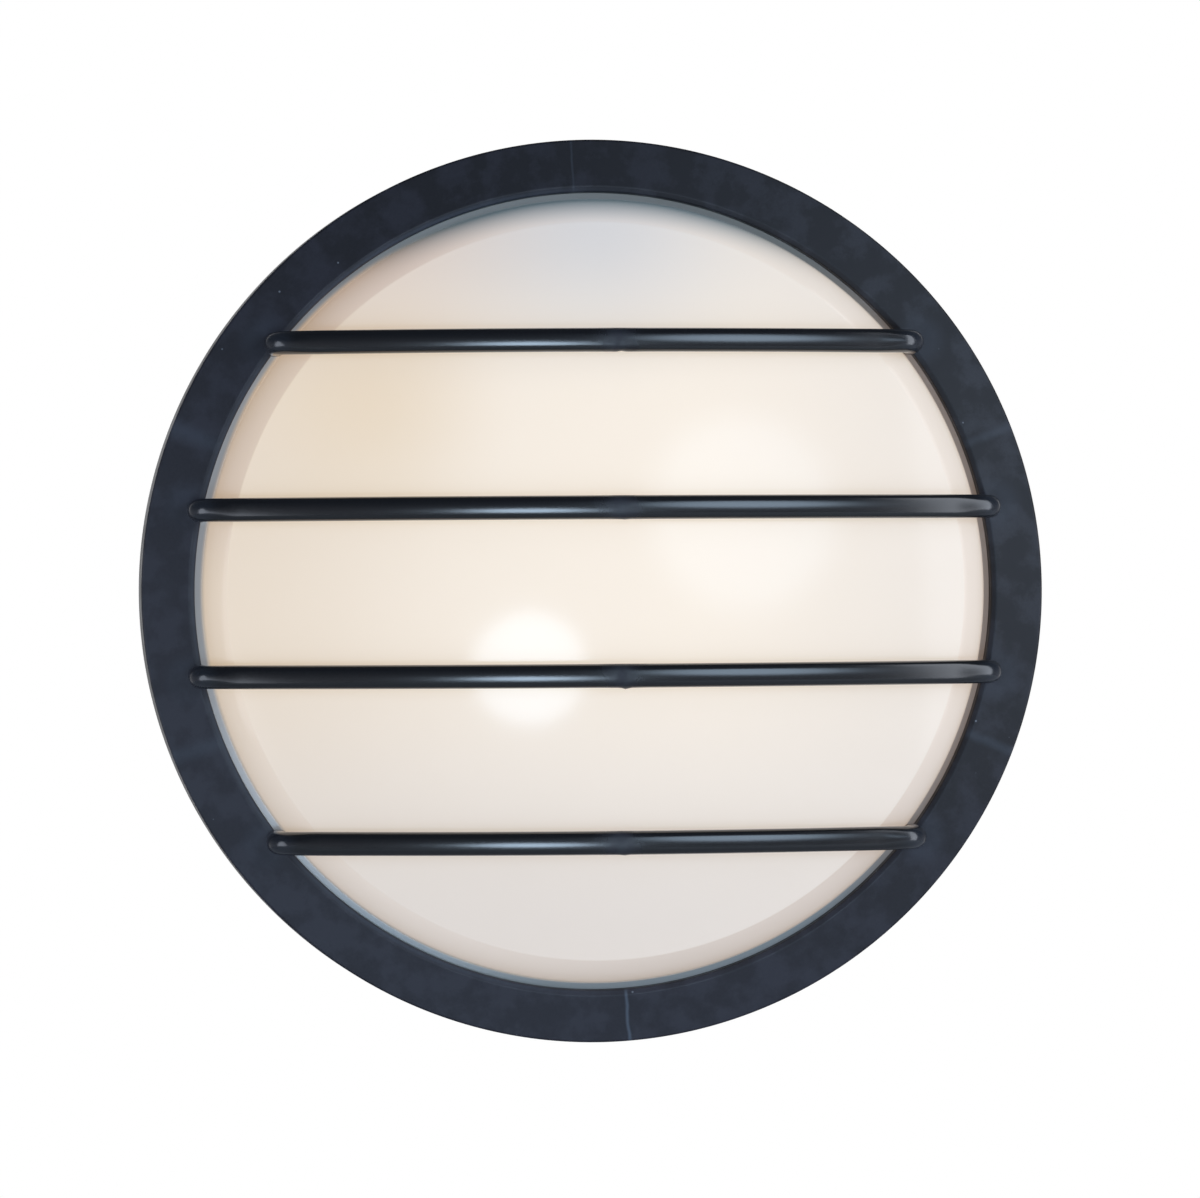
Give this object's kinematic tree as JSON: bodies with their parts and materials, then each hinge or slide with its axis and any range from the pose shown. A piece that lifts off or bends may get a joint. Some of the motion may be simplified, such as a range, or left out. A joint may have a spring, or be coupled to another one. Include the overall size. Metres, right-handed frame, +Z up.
{
  "type": "outdoor wall light",
  "caption": "Round outdoor bulkhead wall light with a domed opal lens behind a black barred guard that twists off its drum housing.",
  "frame": {"origin": "middle of the housing's back, on the wall plane", "axes": "+Y into the wall, -Y the way the light faces, +Z up, +X to the right seen from the front"},
  "size_m": [0.2624, 0.1006, 0.2624],
  "materials": {
    "guard_black": "satin moulded black",
    "housing_black": "satin moulded black",
    "opal_lens": "opal, smooth and glossy, lit from behind by the lamp",
    "seal_rubber": "matt",
    "foam": "closed-cell foam",
    "clip_steel": "spring steel",
    "screw_steel": "plated",
    "tray_white": "gloss white powder coat",
    "zinc_plate": "zinc plated",
    "porcelain": "white glaze",
    "brass": "plain",
    "lamp_white": "opal globe on a metal screw cap",
    "block_white": "moulded",
    "wire_brown": "insulation",
    "wire_blue": "insulation",
    "wire_green": "green and yellow insulation"
  },
  "bodies": {
    "housing": {"lens_gasket": "seal_rubber", "back_housing": "housing_black", "wall_gasket": "foam", "cable_grommet": "seal_rubber", "reflector_tray": "tray_white", "lampholder_bracket": "zinc_plate", "lampholder_body": "porcelain", "lampholder_shell": "brass", "lampholder_contact": "brass", "lamp": "lamp_white", "terminal_block": "block_white", "earth_tag": "brass", "earth_washer": "screw_steel", "earth_screw": "brass", "live_lead": "wire_brown", "neutral_lead": "wire_blue", "earth_lead": "wire_green", "tray_screw_1": "screw_steel", "terminal_sleeve_1": "brass", "terminal_screw_1": "brass", "tray_screw_2": "screw_steel", "terminal_sleeve_2": "brass", "terminal_screw_2": "brass", "tray_screw_3": "screw_steel", "terminal_sleeve_3": "brass", "terminal_screw_3": "brass", "bracket_screw_1": "screw_steel", "lampholder_screw_1": "screw_steel", "block_screw_1": "screw_steel", "bracket_screw_2": "screw_steel", "lampholder_screw_2": "screw_steel", "block_screw_2": "screw_steel"},
    "guard": {"guard_frame": "guard_black", "diffuser_lens": "opal_lens", "lens_clip_1": "clip_steel", "lens_clip_2": "clip_steel", "lens_clip_3": "clip_steel", "lens_clip_4": "clip_steel", "lens_clip_screw_1": "screw_steel", "lens_clip_screw_2": "screw_steel", "lens_clip_screw_3": "screw_steel", "lens_clip_screw_4": "screw_steel"}
  },
  "joints": [
    {"name": "guard_twist", "type": "hinge", "parent": "housing", "child": "guard", "pos_m": [0, -0.045, 0], "axis": [0, -1, 0], "range_deg": [0, 15]}
  ]
}
